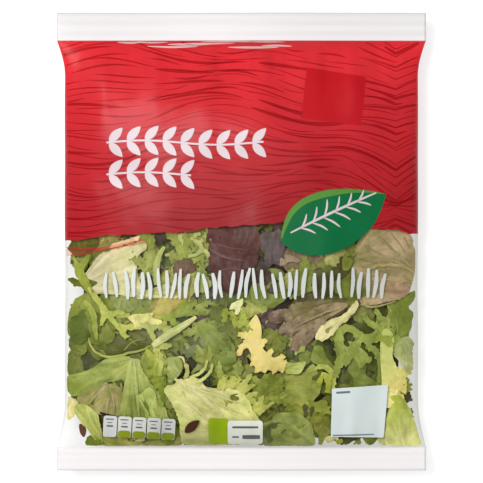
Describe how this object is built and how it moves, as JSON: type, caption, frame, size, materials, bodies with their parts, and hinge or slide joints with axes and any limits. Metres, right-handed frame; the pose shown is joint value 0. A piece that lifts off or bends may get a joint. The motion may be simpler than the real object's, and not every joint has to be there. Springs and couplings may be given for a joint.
{
  "type": "bag of salad leaves",
  "caption": "Sealed clear pillow bag filled with mixed salad leaves, part printed in red, lying on its back.",
  "frame": {"origin": "middle of the bag's back, on the surface it lies on", "axes": "+Z out of the printed front, +Y towards the bag's top seal, +X to the bag's right seen from the front"},
  "size_m": [0.22, 0.273, 0.0475],
  "materials": {
    "film": "clear gloss film, part printed in translucent red",
    "leaves": "fresh salad leaves, satin"
  },
  "bodies": {
    "root": {"salad_bag": "film"}
  },
  "joints": []
}
